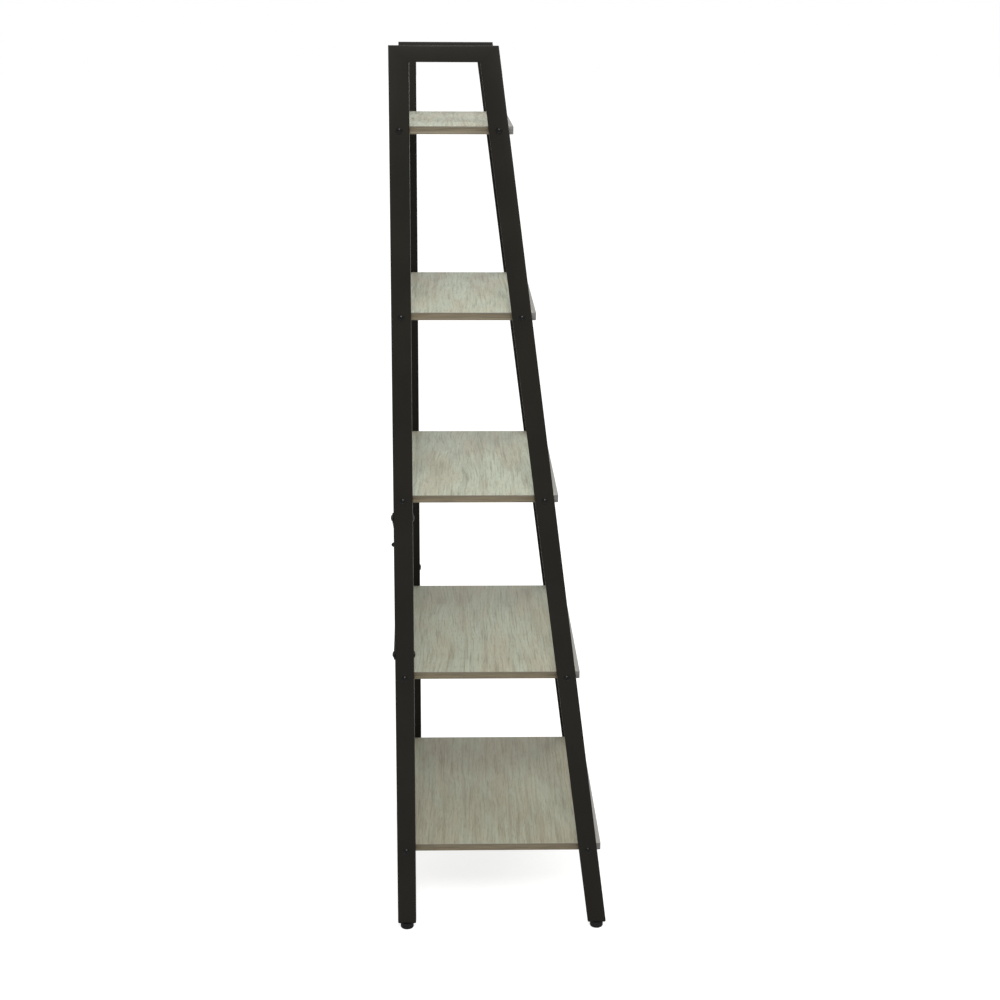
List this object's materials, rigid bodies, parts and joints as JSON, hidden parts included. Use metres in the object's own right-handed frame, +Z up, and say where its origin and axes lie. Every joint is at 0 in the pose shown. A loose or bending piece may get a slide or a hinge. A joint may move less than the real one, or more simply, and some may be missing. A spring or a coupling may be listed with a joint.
{
  "type": "ladder shelf",
  "caption": "Free-standing ladder shelf: two steel tube side frames, upright behind and leaning in front, carry level wood boards that get deeper downwards, with a crossed back brace.",
  "frame": {"origin": "on the floor, under the middle of the whole shelf's box", "axes": "+Z up, front of the shelf towards -Y, rear posts towards +Y, boards running along X"},
  "size_m": [0.6076, 0.4524, 1.8],
  "materials": {
    "frame_paint": "satin powder coat, warm near-black",
    "board_laminate": "matt grey-oak laminate on board",
    "black_fastener": "black zinc, satin",
    "black_plastic": "moulded, matt",
    "zinc_steel": "bright zinc plate"
  },
  "bodies": {
    "frame": {"left_rear_post": "frame_paint", "left_front_leg": "frame_paint", "left_top_bar": "frame_paint", "right_rear_post": "frame_paint", "right_front_leg": "frame_paint", "right_top_bar": "frame_paint", "shelf_board_1": "board_laminate", "shelf_board_2": "board_laminate", "shelf_board_3": "board_laminate", "shelf_board_4": "board_laminate", "shelf_board_5": "board_laminate", "shelf_bolt_1_left_rear": "black_fastener", "shelf_bolt_1_left_front": "black_fastener", "shelf_bolt_1_right_rear": "black_fastener", "shelf_bolt_1_right_front": "black_fastener", "shelf_bolt_2_left_rear": "black_fastener", "shelf_bolt_2_left_front": "black_fastener", "shelf_bolt_2_right_rear": "black_fastener", "shelf_bolt_2_right_front": "black_fastener", "shelf_bolt_3_left_rear": "black_fastener", "shelf_bolt_3_left_front": "black_fastener", "shelf_bolt_3_right_rear": "black_fastener", "shelf_bolt_3_right_front": "black_fastener", "shelf_bolt_4_left_rear": "black_fastener", "shelf_bolt_4_left_front": "black_fastener", "shelf_bolt_4_right_rear": "black_fastener", "shelf_bolt_4_right_front": "black_fastener", "shelf_bolt_5_left_rear": "black_fastener", "shelf_bolt_5_left_front": "black_fastener", "shelf_bolt_5_right_rear": "black_fastener", "shelf_bolt_5_right_front": "black_fastener", "brace_strap_inner": "frame_paint", "brace_strap_outer": "frame_paint", "brace_bolt_left_upper": "black_fastener", "sleeve_nut_left_upper": "black_fastener", "brace_bolt_left_lower": "black_fastener", "sleeve_nut_left_lower": "black_fastener", "brace_bolt_right_upper": "black_fastener", "sleeve_nut_right_upper": "black_fastener", "brace_bolt_right_lower": "black_fastener", "sleeve_nut_right_lower": "black_fastener", "brace_centre_bolt": "black_fastener", "brace_cap_nut": "black_fastener", "tube_plug_left_rear": "black_plastic", "tube_plug_left_front": "black_plastic", "tube_plug_right_rear": "black_plastic", "tube_plug_right_front": "black_plastic"},
    "foot_left_rear": {"foot_pad_left_rear": "black_plastic"},
    "stem_left_rear": {"foot_stem_left_rear": "zinc_steel"},
    "foot_left_front": {"foot_pad_left_front": "black_plastic"},
    "stem_left_front": {"foot_stem_left_front": "zinc_steel"},
    "foot_right_rear": {"foot_pad_right_rear": "black_plastic"},
    "stem_right_rear": {"foot_stem_right_rear": "zinc_steel"},
    "foot_right_front": {"foot_pad_right_front": "black_plastic"},
    "stem_right_front": {"foot_stem_right_front": "zinc_steel"}
  },
  "joints": [
    {"name": "foot_travel_left_rear", "type": "slide", "parent": "frame", "child": "foot_left_rear", "axis": [0, 0, -1], "range_m": [0, 0.01]},
    {"name": "stem_turn_left_rear", "type": "hinge", "parent": "foot_left_rear", "child": "stem_left_rear", "pos_m": [-0.29, 0.1908, 0], "axis": [0, 0, -1], "range_deg": [0, 2880]},
    {"name": "foot_travel_left_front", "type": "slide", "parent": "frame", "child": "foot_left_front", "axis": [0, 0, -1], "range_m": [0, 0.01]},
    {"name": "stem_turn_left_front", "type": "hinge", "parent": "foot_left_front", "child": "stem_left_front", "pos_m": [-0.29, -0.20704, 0], "axis": [0, 0, -1], "range_deg": [0, 2880]},
    {"name": "foot_travel_right_rear", "type": "slide", "parent": "frame", "child": "foot_right_rear", "axis": [0, 0, -1], "range_m": [0, 0.01]},
    {"name": "stem_turn_right_rear", "type": "hinge", "parent": "foot_right_rear", "child": "stem_right_rear", "pos_m": [0.29, 0.1908, 0], "axis": [0, 0, -1], "range_deg": [0, 2880]},
    {"name": "foot_travel_right_front", "type": "slide", "parent": "frame", "child": "foot_right_front", "axis": [0, 0, -1], "range_m": [0, 0.01]},
    {"name": "stem_turn_right_front", "type": "hinge", "parent": "foot_right_front", "child": "stem_right_front", "pos_m": [0.29, -0.20704, 0], "axis": [0, 0, -1], "range_deg": [0, 2880]}
  ],
  "couplings": [
    {"joint": "stem_turn_left_rear", "follows": "foot_travel_left_rear", "rad_per_m": 5026.5},
    {"joint": "stem_turn_left_front", "follows": "foot_travel_left_front", "rad_per_m": 5026.5},
    {"joint": "stem_turn_right_rear", "follows": "foot_travel_right_rear", "rad_per_m": 5026.5},
    {"joint": "stem_turn_right_front", "follows": "foot_travel_right_front", "rad_per_m": 5026.5}
  ]
}
